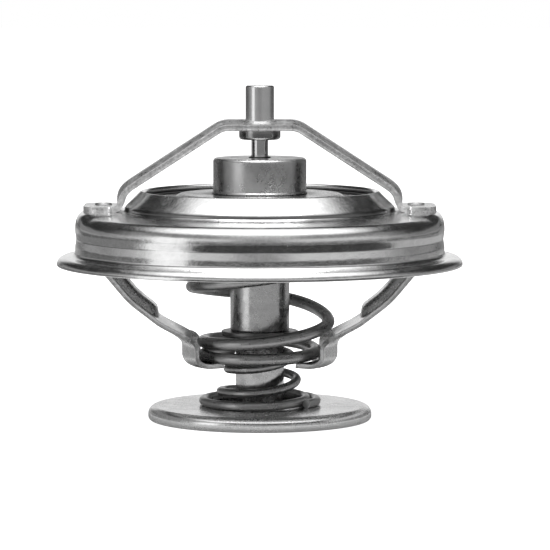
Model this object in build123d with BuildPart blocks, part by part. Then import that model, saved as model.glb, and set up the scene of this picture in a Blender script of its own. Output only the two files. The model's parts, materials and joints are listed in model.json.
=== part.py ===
from build123d import *
from math import atan2, cos, degrees, radians, sin, tan
import os

# Wax-element engine thermostat, in millimetres.
# +Z points up along the axis, towards the adjuster pin. The origin lies on the axis, in the plane of
# the flange's underside. The bridge and the two cage legs lie in the XZ plane.

# Driving sizes: sheets, wires and gaps
shell_sheet = 1.0
bridge_sheet = 1.0
cage_sheet = 0.8
plate_sheet = 1.0
disc_sheet = 0.9
main_wire = 1.8
bypass_wire = 1.4
running_gap = 0.05
seal_gap = 0.08
coil_gap = 0.02

# Driving sizes: flange, dome and seat
flange_radius = 33.5
rim_sheet = 1.5
rim_round = 0.4
rim_width = 3.0
dome_height = 8.9
shoulder_share = 0.337
wall_round = 1.0
waist_depth = 0.2
bulge_share = 0.349
waist_share = 0.495
waist_top_share = 0.618
waist_round = 3.0
shoulder_width = 8.2
seat_wall_height = 0.7
seat_cone_width = 2.85
seat_root_round = 0.2
seat_bend_round = 1.05
lip_round = 0.25

# Driving sizes: bridge
bridge_width = 9.0
bridge_height = 22.3
bridge_knee_rise = 3.0
bridge_knee_inset = 0.85
bridge_corner = 5.9
bridge_leg_gap = 0.45
bridge_top_round = 3.0
bridge_knee_round = 4.0
bridge_foot_round = 1.6
bridge_bead_width = 5.4
bridge_bead_height = 0.5
bridge_bead_start = 3.5
bridge_bead_end = 19.4
foot_inset = 1.5
foot_width = 12.0
foot_corner = 2.25

# Driving sizes: rivets
rivet_inset = 4.7
rivet_radius = 0.95
rivet_head_radius = 1.4
rivet_head_height = 0.35
rivet_tail_radius = 1.2
rivet_tail_height = 0.6
rivet_dimple_radius = 0.6
rivet_dimple_depth = 0.6

# Driving sizes: cage legs
cage_width = 12.0
cage_wall_gap = 1.3
cage_foot_length = 2.5
cage_foot_round = 1.2
cage_bend_round = 4.0
cage_knee_inset = 6.6
cage_knee_height = -5.9
cage_upper_slope = 50.0
cage_knee_round = 15.0
cage_bead_width = 6.4
cage_bead_height = 1.4
cage_bead_top = 4.7
cage_bead_stop = 0.8
cage_flare_length = 4.1
hook_radius = 12.9
hook_width = 14.8
hook_bottom = -16.6
hook_lip_radius = 9.4
hook_height = 4.02
hook_round = 2.4
hook_bend_round = 1.4
hook_stub = 0.9
cage_foot_corner = 2.5

# Driving sizes: adjuster pin and piston
stub_radius = 2.35
stub_length = 6.3
stub_chamfer = 0.25
swage_radius = 2.5
swage_height = 0.55
collar_radius = 3.42
collar_height = 1.6
collar_round = 0.5
socket_depth = 5.3
piston_radius = 1.4
piston_tip = -5.5
piston_tip_round = 0.9

# Driving sizes: valve plate and seal
plate_sink = 0.65
plate_ledge = 3.85
plate_step = 0.8
plate_bend_round = 1.1
plate_step_round = 0.4
plate_depth = 3.0
seal_thickness = 0.9
seal_top_drop = 0.55
seal_bottom_drop = 2.4

# Driving sizes: wax element
case_radius = 4.9
case_wall = 0.8
case_bottom = -10.9
case_floor = 0.8
case_flange_radius = 6.7
case_flange_height = 1.2
stem_radius = 4.0
stem_lift = 0.1
cap_height = 5.9
cap_wall = 0.95
cap_top_wall = 1.0
cap_round = 0.55
cap_foot_flare = 0.15
cap_foot_height = 0.5
scraper_radius = 1.8
scraper_stand = 0.15
scraper_flange_radius = 3.0
scraper_flange_height = 0.5
guide_skirt_drop = 3.3
boot_radius = 3.0
boot_flange_height = 1.0
boot_floor = 1.0
boot_end_gap = 0.1

# Driving sizes: washer, disc and ring
washer_radius = 6.35
washer_height = 0.8
disc_radius = 18.5
disc_depth = 25.7
disc_height = 2.4
disc_shoulder_round = 1.3
disc_hem_height = 0.6
disc_hem_depth = 0.1
ring_radius = 5.2
ring_root_radius = 3.5
ring_height = 0.6
ring_mouth = 3.0

# Springs: each station is an angle in degrees, a share of the way from the first to the last coil
# radius, and a share of the way from the first to the last coil height.
main_first_radius = 9.1
main_plateau_inset = 1.5
main_stations = (
    (-240, 0.00, 0.000), (-90, 0.00, 0.000), (0, 0.02, 0.024), (90, 0.05, 0.069), (180, 0.07, 0.088),
    (270, 0.12, 0.112), (360, 0.79, 0.217), (420, 0.80, 0.325), (480, 0.77, 0.386), (540, 0.74, 0.455),
    (630, 0.78, 0.540), (720, 0.84, 0.656), (900, 0.92, 0.775), (1080, 0.98, 0.887), (1200, 1.00, 0.962),
    (1290, 1.00, 0.997), (1380, 1.00, 1.000), (1470, 1.00, 1.000),
)
bypass_first_radius = 9.35
bypass_last_radius = 5.0
bypass_stations = (
    (-35, 0.00, 0.000), (90, 0.00, 0.000), (180, 0.01, 0.000), (260, 0.05, 0.005), (325, 0.35, 0.022),
    (380, 0.42, 0.045), (450, 0.53, 0.090), (540, 0.67, 0.150), (630, 0.69, 0.190), (720, 0.75, 0.350),
    (810, 0.87, 0.450), (900, 0.94, 0.520), (990, 0.97, 0.580), (1080, 0.98, 0.730), (1170, 1.00, 0.810),
    (1260, 1.00, 0.890), (1350, 1.00, 0.970), (1440, 1.00, 1.000), (1530, 1.00, 1.000),
)
points_per_turn = 20

# Places worked out from the driving sizes
dome_radius = flange_radius - rim_width
dome_underside = dome_height - shell_sheet
seat_root_radius = dome_radius - shoulder_width
seat_lip_radius = seat_root_radius - seat_cone_width
seat_lip_height = dome_height + seat_wall_height + seat_cone_width
foot_top = dome_height + bridge_sheet
foot_end = dome_radius - foot_inset
foot_strap_end = foot_end - foot_inset
rivet_place = dome_radius - rivet_inset
bridge_leg_radius = seat_root_radius + bridge_leg_gap
bridge_knee_radius = bridge_leg_radius - bridge_knee_inset
bridge_knee_height = dome_height + bridge_knee_rise
bridge_rise = (bridge_height - bridge_knee_height) / (bridge_knee_radius - bridge_corner)
bridge_slope = degrees(atan2(bridge_rise, 1))
stub_top = bridge_height + bridge_sheet + stub_length
cage_reach = dome_radius - shell_sheet - cage_wall_gap
cage_foot_end = rivet_place - cage_foot_length
cage_knee_radius = cage_reach - cage_knee_inset
cage_flare_start = hook_radius + cage_flare_length
cage_bead_end = cage_flare_start + cage_bead_stop
plateau_height = seat_lip_height - plate_sink
plate_rim_height = plateau_height - plate_depth
seal_top = plateau_height - seal_top_drop
seal_bottom = plateau_height - seal_bottom_drop
guide_skirt_bottom = plateau_height - guide_skirt_drop
disc_rim_bottom = -disc_depth
disc_top = disc_rim_bottom + disc_height
stem_bottom = disc_rim_bottom + stem_lift
cage_foot_underside = dome_underside - cage_sheet
hook_floor = hook_bottom + cage_sheet
cap_top = plateau_height + cap_height
cap_bore = case_flange_radius + running_gap
cap_radius = cap_bore + cap_wall
cap_foot_radius = cap_radius + cap_foot_flare
cap_ceiling = cap_top - cap_top_wall
case_flange_top = plateau_height + case_flange_height
plate_underside = plateau_height - plate_sheet
washer_bottom = case_bottom - washer_height
boot_top = guide_skirt_bottom
bore_radius = case_radius - case_wall
piston_bore = piston_radius + running_gap
disc_underside = disc_top - disc_sheet
diagonal = 2 ** 0.5
seat_cone_sum = seat_lip_radius + seat_lip_height
seal_outer_sum = seat_cone_sum - (shell_sheet + seal_gap) * diagonal
plate_rim_sum = seal_outer_sum - seal_thickness * diagonal
plate_flat_height = plateau_height - plate_step
plate_shoulder = plate_rim_sum - plate_flat_height
plateau_radius = plate_shoulder - plate_ledge - plate_step
main_last_radius = plateau_radius - main_plateau_inset


def moved_points(points, distance):
    """A path of straight runs, moved to its left by a distance."""
    runs = [(Vector(*end) - Vector(*start)).normalized() for start, end in zip(points, points[1:])]
    sides = [Vector(-run.Y, run.X) for run in runs]
    moved = [Vector(*points[0]) + sides[0] * distance]
    for place, before, after in zip(points[1:-1], sides, sides[1:]):
        moved.append(Vector(*place) + (before + after) * (distance / (1 + before.dot(after))))
    moved.append(Vector(*points[-1]) + sides[-1] * distance)
    return [(point.X, point.Y) for point in moved]


def moved_radii(points, radii, distance):
    """The corner radii of a path after it is moved to its left by a distance."""
    moved = []
    for before, place, after, radius in zip(points, points[1:], points[2:], radii):
        turn = (Vector(*place) - Vector(*before)).cross(Vector(*after) - Vector(*place)).Z
        moved.append(radius - distance if turn > 0 else radius + distance)
    return moved


def bent_sheet(points, radii, thickness):
    """Outline of a bent sheet: a path, the same path one thickness to its left, and the two ends."""
    far_points = moved_points(points, thickness)
    FilletPolyline(*points, radius=radii)
    Line(points[-1], far_points[-1])
    FilletPolyline(*far_points, radius=moved_radii(points, radii, thickness))
    Line(far_points[0], points[0])


def station_value(stations, angle, column):
    """Smooth value between stations: a cubic through them with matching slopes."""
    count = len(stations)
    last = max(i for i in range(count - 1) if stations[i][0] <= angle)
    span = stations[last + 1][0] - stations[last][0]
    share = (angle - stations[last][0]) / span

    def slope(index):
        if index == 0 or index == count - 1:
            return 0.0
        rise = stations[index + 1][column] - stations[index - 1][column]
        return rise / (stations[index + 1][0] - stations[index - 1][0])

    start = stations[last][column]
    end = stations[last + 1][column]
    bend = share * share * (3 - 2 * share)
    pull_start = share * (1 - share) ** 2 * slope(last) * span
    pull_end = share * share * (share - 1) * slope(last + 1) * span
    return start + (end - start) * bend + pull_start + pull_end


def coil_points(stations, radii, heights):
    """Points along a coil's centreline, from its lower end to its upper end."""
    first_angle = stations[0][0]
    turn_angle = stations[-1][0] - first_angle
    steps = round(turn_angle / 360 * points_per_turn)
    points = []
    for step in range(steps + 1):
        angle = first_angle + turn_angle * step / steps
        radius = radii[0] + (radii[1] - radii[0]) * station_value(stations, angle, 1)
        height = heights[0] + (heights[1] - heights[0]) * station_value(stations, angle, 2)
        points.append((radius * cos(radians(angle)), radius * sin(radians(angle)), height))
    return points


# Flange shell: rim, dome and seat cone, drawn from one sheet. The rim keeps the sheet's full thickness,
# and the draw thins the rest.
shell_points = (
    (flange_radius, rim_sheet),
    (dome_radius, rim_sheet),
    (dome_radius, bulge_share * dome_height),
    (dome_radius - waist_depth, waist_share * dome_height),
    (dome_radius, waist_top_share * dome_height),
    (dome_radius, dome_height),
    (seat_root_radius, dome_height),
    (seat_root_radius, dome_height + seat_wall_height),
    (seat_lip_radius, seat_lip_height),
)
shell_radii = (
    wall_round,
    waist_round,
    waist_round,
    waist_round,
    shoulder_share * dome_height,
    seat_root_round,
    seat_bend_round,
)
shell_far_points = moved_points(shell_points, shell_sheet)
shell_far_points[:2] = [(flange_radius, 0), (dome_radius - shell_sheet, 0)]

with BuildPart() as flange_shell:
    with BuildSketch(Plane.XZ):
        with BuildLine():
            FilletPolyline(*shell_points, radius=shell_radii)
            Line(shell_points[-1], shell_far_points[-1])
            FilletPolyline(*shell_far_points, radius=moved_radii(shell_points, shell_radii, shell_sheet))
            Line(shell_far_points[0], shell_points[0])
        make_face()
    revolve(axis=Axis.Z)
    shell_circles = flange_shell.edges().filter_by(GeomType.CIRCLE)
    fillet(shell_circles.group_by(SortBy.RADIUS)[-1], rim_round)
    seat_lip = flange_shell.edges().filter_by(GeomType.CIRCLE).sort_by(Axis.Z)[-1]
    fillet(seat_lip, lip_round)
    with Locations((rivet_place, 0, dome_height), (-rivet_place, 0, dome_height)):
        Hole(rivet_radius + running_gap, depth=2 * shell_sheet)

# Bridge: one bent strap with a foot at each end and a pressed bead on each leg
strap_top = bridge_height + bridge_sheet
bead_corner = bridge_corner + bridge_sheet * tan(radians(bridge_slope / 2))
bead_far_height = strap_top - (bridge_bead_end - bead_corner) * bridge_rise
groove_start = bridge_bead_start + bridge_sheet
groove_end = bridge_bead_end - bridge_sheet
groove_far_height = bridge_height - (groove_end - bridge_corner) * bridge_rise

with BuildPart() as bridge_bead:
    with BuildSketch(Plane.XZ):
        with BuildLine():
            bent_sheet(
                (
                    (bridge_bead_start, strap_top),
                    (bead_corner, strap_top),
                    (bridge_bead_end, bead_far_height),
                ),
                (bridge_top_round + bridge_sheet,),
                bridge_bead_height,
            )
        make_face()
    extrude(amount=bridge_bead_width / 2, both=True)

with BuildPart() as bridge_groove:
    with BuildSketch(Plane.XZ):
        with BuildLine():
            bent_sheet(
                (
                    (groove_start, bridge_height),
                    (bridge_corner, bridge_height),
                    (groove_end, groove_far_height),
                ),
                (bridge_top_round,),
                bridge_bead_height,
            )
        make_face()
    extrude(amount=(bridge_bead_width - bridge_sheet) / 2, both=True)

with BuildPart() as bridge:
    with BuildSketch(Plane.XZ):
        with BuildLine():
            bent_sheet(
                (
                    (-foot_strap_end, dome_height),
                    (-bridge_leg_radius, dome_height),
                    (-bridge_knee_radius, bridge_knee_height),
                    (-bridge_corner, bridge_height),
                    (bridge_corner, bridge_height),
                    (bridge_knee_radius, bridge_knee_height),
                    (bridge_leg_radius, dome_height),
                    (foot_strap_end, dome_height),
                ),
                (
                    bridge_foot_round,
                    bridge_knee_round,
                    bridge_top_round,
                    bridge_top_round,
                    bridge_knee_round,
                    bridge_foot_round,
                ),
                bridge_sheet,
            )
        make_face()
    extrude(amount=bridge_width / 2, both=True)
    foot_start = bridge_leg_radius + bridge_foot_round
    with BuildSketch(Plane.XY.offset(dome_height)):
        with Locations(((foot_start + foot_end) / 2, 0), (-(foot_start + foot_end) / 2, 0)):
            RectangleRounded(foot_end - foot_start, foot_width, foot_corner)
    extrude(amount=bridge_sheet)
    add(bridge_bead.part)
    mirror(bridge_bead.part, about=Plane.YZ)
    add(bridge_groove.part, mode=Mode.SUBTRACT)
    mirror(bridge_groove.part, about=Plane.YZ, mode=Mode.SUBTRACT)
    with Locations((0, 0, strap_top)):
        Hole(stub_radius + running_gap, depth=2 * bridge_sheet)
    with Locations((rivet_place, 0, foot_top), (-rivet_place, 0, foot_top)):
        Hole(rivet_radius + running_gap, depth=2 * bridge_sheet)

# Cage legs: a foot under the dome, a sloping strap with a deep bead, and a hook curved round the axis
hook_top_height = hook_bottom + hook_height
lower_rise = (cage_knee_height - hook_top_height) / (cage_knee_radius - hook_radius)
lower_slope = atan2(lower_rise, 1)
cage_shoulder_height = cage_knee_height + (cage_reach - cage_knee_radius) * tan(radians(cage_upper_slope))
stub_radius_out = hook_radius + hook_stub
stub_height = hook_top_height + hook_stub * lower_rise
flare_height = cage_knee_height - (cage_knee_radius - cage_flare_start) * lower_rise
bead_end_height = cage_knee_height - (cage_knee_radius - cage_bead_end) * lower_rise
cage_groove_end = cage_bead_end + cage_sheet
groove_end_height = bead_end_height + cage_sheet * lower_rise
slope_run = (cos(lower_slope), 0, sin(lower_slope))
slope_side = (-sin(lower_slope), 0, cos(lower_slope))
stub_plane = Plane(origin=(stub_radius_out, 0, stub_height), x_dir=slope_side, z_dir=slope_run)
flare_plane = Plane(origin=(cage_flare_start, 0, flare_height), x_dir=slope_side, z_dir=slope_run)

with BuildPart() as hook:
    with BuildSketch(Plane.XZ):
        with BuildLine():
            bent_sheet(
                (
                    (hook_lip_radius, hook_bottom),
                    (hook_radius, hook_bottom),
                    (hook_radius, hook_top_height),
                    (cage_flare_start, flare_height),
                ),
                (hook_round, hook_bend_round),
                cage_sheet,
            )
        make_face()
    revolve(axis=Axis.Z)
    Box(4 * flange_radius, hook_width, 4 * flange_radius, mode=Mode.INTERSECT)
    split(bisect_by=Plane.YZ, keep=Keep.TOP)
    split(bisect_by=stub_plane, keep=Keep.BOTTOM)

bead_points = (
    (cage_bead_end, bead_end_height),
    (cage_knee_radius, cage_knee_height),
    (cage_reach, cage_shoulder_height),
    (cage_reach, cage_bead_top),
)
groove_points = (
    (cage_groove_end, groove_end_height),
    (cage_knee_radius, cage_knee_height),
    (cage_reach, cage_shoulder_height),
    (cage_reach, cage_bead_top - cage_sheet),
)
bead_radii = (cage_knee_round, cage_bend_round)

with BuildPart() as cage_bead:
    with BuildSketch(Plane.XZ):
        with BuildLine():
            bent_sheet(
                moved_points(bead_points, cage_sheet),
                moved_radii(bead_points, bead_radii, cage_sheet),
                cage_bead_height,
            )
        make_face()
    extrude(amount=cage_bead_width / 2, both=True)

with BuildPart() as cage_groove:
    with BuildSketch(Plane.XZ):
        with BuildLine():
            bent_sheet(groove_points, bead_radii, cage_bead_height)
        make_face()
    extrude(amount=cage_bead_width / 2 - cage_sheet, both=True)

with BuildPart() as cage_leg_right:
    with BuildSketch(Plane.XZ):
        with BuildLine():
            bent_sheet(
                (
                    (cage_flare_start, flare_height),
                    (cage_knee_radius, cage_knee_height),
                    (cage_reach, cage_shoulder_height),
                    (cage_reach, dome_underside),
                    (cage_foot_end, dome_underside),
                ),
                (cage_knee_round, cage_bend_round, cage_foot_round),
                cage_sheet,
            )
        make_face()
    extrude(amount=cage_width / 2, both=True)
    foot_corners = cage_leg_right.edges().filter_by(Axis.Z).sort_by(Axis.X)[:2]
    fillet(foot_corners, cage_foot_corner)
    with BuildSketch(flare_plane) as flare_section:
        Rectangle(cage_sheet, cage_width, align=(Align.MIN, Align.CENTER))
    hook_end = hook.faces().filter_by(GeomType.PLANE).sort_by(Axis(origin=(0, 0, 0), direction=slope_run))[-1]
    loft(sections=[hook_end, flare_section.sketch.face()])
    add(hook.part)
    add(cage_bead.part)
    add(cage_groove.part, mode=Mode.SUBTRACT)
    with Locations((rivet_place, 0, dome_underside)):
        Hole(rivet_radius + running_gap, depth=2 * cage_sheet)

with BuildPart() as cage_leg_left:
    mirror(cage_leg_right.part, about=Plane.YZ)

# Rivets: a low dimpled head on the bridge's foot and a tail under the cage leg's foot
with BuildPart() as rivet_right:
    with BuildSketch(Plane.XZ):
        with Locations((0, cage_foot_underside)):
            Rectangle(rivet_radius, foot_top - cage_foot_underside, align=(Align.MIN, Align.MIN))
            Rectangle(rivet_tail_radius, rivet_tail_height, align=(Align.MIN, Align.MAX))
        with Locations((0, foot_top)):
            Rectangle(rivet_head_radius, rivet_head_height, align=(Align.MIN, Align.MIN))
        with Locations((0, foot_top + rivet_head_height)):
            Rectangle(rivet_dimple_radius, rivet_dimple_depth, align=(Align.MIN, Align.MAX), mode=Mode.SUBTRACT)
    revolve(axis=Axis.Z)
    head_rim = rivet_right.edges().filter_by(GeomType.CIRCLE).group_by(Axis.Z)[-1].sort_by(SortBy.LENGTH)[-1]
    fillet(head_rim, rivet_head_height / 2)
rivet_right.part = rivet_right.part.moved(Location((rivet_place, 0, 0)))

with BuildPart() as rivet_left:
    mirror(rivet_right.part, about=Plane.YZ)

# Piston socket: the adjuster pin above the bridge and the collar below it, turned in one piece
with BuildPart() as piston_socket:
    with BuildSketch(Plane.XZ):
        with BuildLine():
            Polyline(
                (0, bridge_height - collar_height),
                (collar_radius, bridge_height - collar_height),
                (collar_radius, bridge_height),
                (stub_radius, bridge_height),
                (stub_radius, strap_top),
                (swage_radius, strap_top),
                (swage_radius, strap_top + swage_height),
                (stub_radius, strap_top + swage_height),
                (stub_radius, stub_top),
                (0, stub_top),
                close=True,
            )
        make_face()
    revolve(axis=Axis.Z)
    collar_edge = piston_socket.edges().group_by(Axis.Z)[0]
    fillet(collar_edge, collar_round)
    stub_edge = piston_socket.edges().filter_by(GeomType.CIRCLE).sort_by(Axis.Z)[-1]
    chamfer(stub_edge, stub_chamfer)
    with Locations((0, 0, bridge_height - collar_height)):
        Cylinder(
            piston_radius + coil_gap,
            socket_depth,
            align=(Align.CENTER, Align.CENTER, Align.MIN),
            mode=Mode.SUBTRACT,
        )

# Piston: polished pin held in the socket, its round tip in the rubber boot
piston_top = bridge_height - collar_height + socket_depth
with BuildPart() as piston:
    with BuildSketch(Plane.XY.offset(piston_tip)):
        Circle(piston_radius)
    extrude(amount=piston_top - piston_tip)
    fillet(piston.edges().group_by(Axis.Z)[0], piston_tip_round)

# Valve plate: pressed plateau, step and sloping rim
plate_hole = case_radius + running_gap
plate_points = (
    (plate_rim_sum - plate_rim_height, plate_rim_height),
    (plate_shoulder, plate_flat_height),
    (plateau_radius + plate_step, plate_flat_height),
    (plateau_radius, plateau_height),
    (plate_hole, plateau_height),
)
with BuildPart() as valve_plate:
    with BuildSketch(Plane.XZ):
        with BuildLine():
            bent_sheet(plate_points, (plate_bend_round, plate_step_round, plate_bend_round), plate_sheet)
        make_face()
    revolve(axis=Axis.Z)

# Valve seal: rubber moulded on the plate's sloping rim
with BuildPart() as valve_seal:
    with BuildSketch(Plane.XZ):
        with BuildLine():
            Polyline(
                (plate_rim_sum - seal_bottom, seal_bottom),
                (seal_outer_sum - seal_bottom, seal_bottom),
                (seal_outer_sum - seal_top, seal_top),
                (plate_shoulder, seal_top),
                (plate_shoulder, plate_flat_height),
                close=True,
            )
        make_face()
    revolve(axis=Axis.Z)
    add(valve_plate.part, mode=Mode.SUBTRACT)

# Element case: drawn cup with a clamping flange, a floor and the stem that the bypass disc slides on
ring_top = disc_underside - running_gap
ring_bottom = ring_top - ring_height
with BuildPart() as element_cup:
    with BuildSketch(Plane.XZ):
        with BuildLine():
            Polyline(
                (0, stem_bottom),
                (stem_radius, stem_bottom),
                (stem_radius, ring_bottom - coil_gap),
                (ring_root_radius - running_gap, ring_bottom - coil_gap),
                (ring_root_radius - running_gap, ring_top + coil_gap),
                (stem_radius, ring_top + coil_gap),
                (stem_radius, case_bottom),
                (case_radius, case_bottom),
                (case_radius, plateau_height),
                (case_flange_radius, plateau_height),
                (case_flange_radius, case_flange_top),
                (bore_radius, case_flange_top),
                (bore_radius, case_bottom + case_floor),
                (0, case_bottom + case_floor),
                close=True,
            )
        make_face()
    revolve(axis=Axis.Z)

# Element collar: drawn cap that clamps the case's flange and the guide
with BuildPart() as element_collar:
    with BuildSketch(Plane.XZ):
        with BuildLine():
            Polyline(
                (cap_bore, plateau_height),
                (cap_foot_radius, plateau_height),
                (cap_foot_radius, plateau_height + cap_foot_height / 2),
                (cap_radius, plateau_height + cap_foot_height),
                (cap_radius, cap_top),
                (scraper_radius + running_gap, cap_top),
                (scraper_radius + running_gap, cap_ceiling),
                (cap_bore, cap_ceiling),
                close=True,
            )
        make_face()
    revolve(axis=Axis.Z)
    cap_rim = element_collar.edges().group_by(Axis.Z)[-1].sort_by(SortBy.RADIUS)[-1]
    fillet(cap_rim, cap_round)

# Scraper ring: rubber lip round the piston, trapped under the cap
with BuildPart() as scraper_ring:
    with BuildSketch(Plane.XZ):
        with Locations((piston_bore, cap_ceiling)):
            Rectangle(
                scraper_radius - piston_bore,
                cap_top_wall + scraper_stand,
                align=(Align.MIN, Align.MIN),
            )
            Rectangle(scraper_flange_radius - piston_bore, scraper_flange_height, align=(Align.MIN, Align.MAX))
    revolve(axis=Axis.Z)

# Guide: brass head under the cap, with a skirt that reaches into the case
guide_top = cap_ceiling - scraper_flange_height
with BuildPart() as guide:
    with BuildSketch(Plane.XZ):
        with Locations((piston_bore, case_flange_top)):
            Rectangle(case_flange_radius - piston_bore, guide_top - case_flange_top, align=(Align.MIN, Align.MIN))
        with Locations((piston_bore, case_flange_top)):
            Rectangle(
                bore_radius - running_gap - piston_bore,
                case_flange_top - guide_skirt_bottom,
                align=(Align.MIN, Align.MAX),
            )
    revolve(axis=Axis.Z)

# Rubber boot: closed sleeve round the piston's end, clamped by its flange under the guide
boot_bottom = piston_tip - boot_end_gap - boot_floor
with BuildPart() as rubber_boot:
    with BuildSketch(Plane.XZ):
        with BuildLine():
            Polyline(
                (0, boot_bottom),
                (boot_radius, boot_bottom),
                (boot_radius, boot_top - boot_flange_height),
                (bore_radius - running_gap, boot_top - boot_flange_height),
                (bore_radius - running_gap, boot_top),
                (piston_bore, boot_top),
                (piston_bore, boot_bottom + boot_floor),
                (0, boot_bottom + boot_floor),
                close=True,
            )
        make_face()
    revolve(axis=Axis.Z)

# Wax charge: fills the case round the boot
with BuildPart() as wax_charge:
    with BuildSketch(Plane.XZ):
        with BuildLine():
            Polyline(
                (0, case_bottom + case_floor),
                (bore_radius - running_gap, case_bottom + case_floor),
                (bore_radius - running_gap, boot_top - boot_flange_height),
                (boot_radius + running_gap, boot_top - boot_flange_height),
                (boot_radius + running_gap, boot_bottom),
                (0, boot_bottom),
                close=True,
            )
        make_face()
    revolve(axis=Axis.Z)

# Spring washer: thin washer under the case's shoulder
with BuildPart() as spring_washer:
    with BuildSketch(Plane.XY.offset(washer_bottom)):
        Circle(washer_radius)
        Circle(stem_radius + running_gap, mode=Mode.SUBTRACT)
    extrude(amount=washer_height)

# Bypass disc: drawn cap that slides on the stem, with a thin hem round its rim
disc_wall_radius = disc_radius - disc_hem_depth
with BuildPart() as bypass_disc:
    with BuildSketch(Plane.XZ):
        with BuildLine():
            bent_sheet(
                (
                    (disc_wall_radius, disc_rim_bottom),
                    (disc_wall_radius, disc_top),
                    (stem_radius + running_gap, disc_top),
                ),
                (disc_shoulder_round,),
                disc_sheet,
            )
        make_face()
        with Locations((disc_radius, disc_rim_bottom)):
            Rectangle(disc_sheet, disc_hem_height, align=(Align.MAX, Align.MIN))
    revolve(axis=Axis.Z)

# Retaining ring: open ring in the stem's groove, below the disc
with BuildPart() as retaining_ring:
    with BuildSketch(Plane.XY.offset(ring_bottom)):
        Circle(ring_radius)
        Circle(ring_root_radius, mode=Mode.SUBTRACT)
        Rectangle(ring_mouth, 2 * ring_radius, align=(Align.CENTER, Align.MIN), mode=Mode.SUBTRACT)
    extrude(amount=ring_height)

# Springs: round wire swept along the coil
main_heights = (hook_floor + main_wire / 2 + coil_gap, plate_underside - main_wire / 2 - coil_gap)
with BuildPart() as main_spring:
    with BuildLine() as main_path:
        Spline(*coil_points(main_stations, (main_first_radius, main_last_radius), main_heights))
    with BuildSketch(Plane(origin=main_path.line @ 0, z_dir=main_path.line % 0)):
        Circle(main_wire / 2)
    sweep()

bypass_heights = (disc_top + bypass_wire / 2 + coil_gap, washer_bottom - bypass_wire / 2 - coil_gap)
with BuildPart() as bypass_spring:
    with BuildLine() as bypass_path:
        Spline(*coil_points(bypass_stations, (bypass_first_radius, bypass_last_radius), bypass_heights))
    with BuildSketch(Plane(origin=bypass_path.line @ 0, z_dir=bypass_path.line % 0)):
        Circle(bypass_wire / 2)
    sweep()

# Write one file for each piece
pieces = {
    "flange_shell": flange_shell,
    "bridge": bridge,
    "rivet_left": rivet_left,
    "rivet_right": rivet_right,
    "cage_leg_left": cage_leg_left,
    "cage_leg_right": cage_leg_right,
    "piston_socket": piston_socket,
    "piston": piston,
    "main_spring": main_spring,
    "valve_plate": valve_plate,
    "valve_seal": valve_seal,
    "element_cup": element_cup,
    "element_collar": element_collar,
    "scraper_ring": scraper_ring,
    "guide": guide,
    "rubber_boot": rubber_boot,
    "wax_charge": wax_charge,
    "spring_washer": spring_washer,
    "bypass_spring": bypass_spring,
    "bypass_disc": bypass_disc,
    "retaining_ring": retaining_ring,
}
os.makedirs("parts", exist_ok=True)
for name, piece in pieces.items():
    piece.part.label = name
    export_step(piece.part, f"parts/{name}.step")
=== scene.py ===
# %% [markdown]
# # An engine thermostat in pressed steel
#
# This lesson dresses a small valve from an engine's cooling circuit. A flange sits in the housing, a
# dome carries the valve seat, and a bridge above the seat holds a thin piston. Wax in the element
# swells when the coolant is hot. It pushes the element down the piston, and the valve plate leaves
# its seat.
#
# The imported model gives every piece its true place. We load it first.

# %% The imported model
import json
from functools import partial
from math import ceil, cos, degrees, pi, radians, sin, sqrt, tan

import bmesh
import bpy
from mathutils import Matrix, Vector
from mathutils.kdtree import KDTree

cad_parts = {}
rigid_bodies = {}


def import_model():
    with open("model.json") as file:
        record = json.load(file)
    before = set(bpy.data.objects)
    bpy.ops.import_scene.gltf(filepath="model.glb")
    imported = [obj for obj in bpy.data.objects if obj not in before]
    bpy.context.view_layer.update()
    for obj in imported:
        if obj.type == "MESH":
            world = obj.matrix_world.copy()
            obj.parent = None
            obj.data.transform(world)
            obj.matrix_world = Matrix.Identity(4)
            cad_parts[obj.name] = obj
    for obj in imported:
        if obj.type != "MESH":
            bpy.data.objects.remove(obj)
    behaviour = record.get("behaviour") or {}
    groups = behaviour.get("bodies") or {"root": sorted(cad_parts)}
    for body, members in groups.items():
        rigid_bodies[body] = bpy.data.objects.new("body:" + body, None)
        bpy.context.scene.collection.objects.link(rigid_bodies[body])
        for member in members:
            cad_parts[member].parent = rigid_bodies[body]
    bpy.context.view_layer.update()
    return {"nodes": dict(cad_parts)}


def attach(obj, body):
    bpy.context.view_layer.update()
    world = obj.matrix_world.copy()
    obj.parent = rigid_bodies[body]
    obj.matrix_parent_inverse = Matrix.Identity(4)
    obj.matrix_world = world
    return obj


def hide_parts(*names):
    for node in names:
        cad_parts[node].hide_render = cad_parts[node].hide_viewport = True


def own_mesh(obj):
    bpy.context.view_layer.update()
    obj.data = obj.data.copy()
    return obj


for leftover in list(bpy.data.objects):
    bpy.data.objects.remove(leftover)
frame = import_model()
MM = 0.001
MICRON = 0.000001
print("nodes in the packed model:", len(frame["nodes"]))

# %% [markdown]
# ## Where the photographer stood
#
# A long lens from 60 cm away flattens the circles to thin ellipses. The camera aims at the axis, a
# little above the rim's underside. A small shift places the object in the frame without turning the
# camera, so upright edges stay upright.

# %% The camera
CAMERA_PLACE = Vector((0, -600, 51.83)) * MM
CAMERA_AIM = Vector((0, 0, 0.5)) * MM
PICTURE_WIDTH = 550
SENSOR_WIDTH = 36
FOCAL_PIXELS = 3643.2
SHIFT_PIXELS = (15.2, -13.5)

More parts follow.
